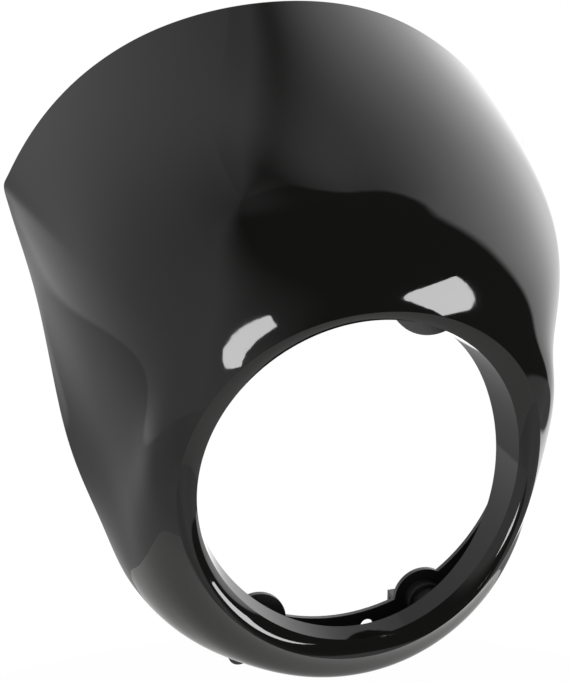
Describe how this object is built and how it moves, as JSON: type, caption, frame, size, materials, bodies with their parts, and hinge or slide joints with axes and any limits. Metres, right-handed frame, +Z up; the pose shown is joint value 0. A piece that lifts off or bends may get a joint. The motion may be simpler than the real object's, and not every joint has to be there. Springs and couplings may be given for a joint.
{
  "type": "motorcycle headlight mask",
  "caption": "Gloss black moulded mask that frames a round motorcycle headlamp, with a raked visor above, deep cheeks and a rubber-mounted steel bracket behind.",
  "frame": {"origin": "centre of the headlamp opening, in the plane of its front rim", "axes": "+Z up and -Y forwards as fitted on the motorcycle, +X to the right of someone who looks at the front"},
  "size_m": [0.2824, 0.1589, 0.3281],
  "materials": {
    "gloss_black_abs": "high gloss black outside, finer matt texture inside",
    "black_steel": "satin black powder coat",
    "insert_brass": "turned",
    "zinc_steel": "zinc plated",
    "screw_steel": "dark zinc",
    "bush_rubber": "matt"
  },
  "bodies": {
    "root": {"mask_shell": "gloss_black_abs", "mounting_bracket": "black_steel", "threaded_inserts": "insert_brass", "bracket_washers": "zinc_steel", "bracket_screws": "screw_steel", "bush_upper_left": "bush_rubber", "bush_upper_right": "bush_rubber", "bush_lower_left": "bush_rubber", "bush_lower_right": "bush_rubber"}
  },
  "joints": []
}
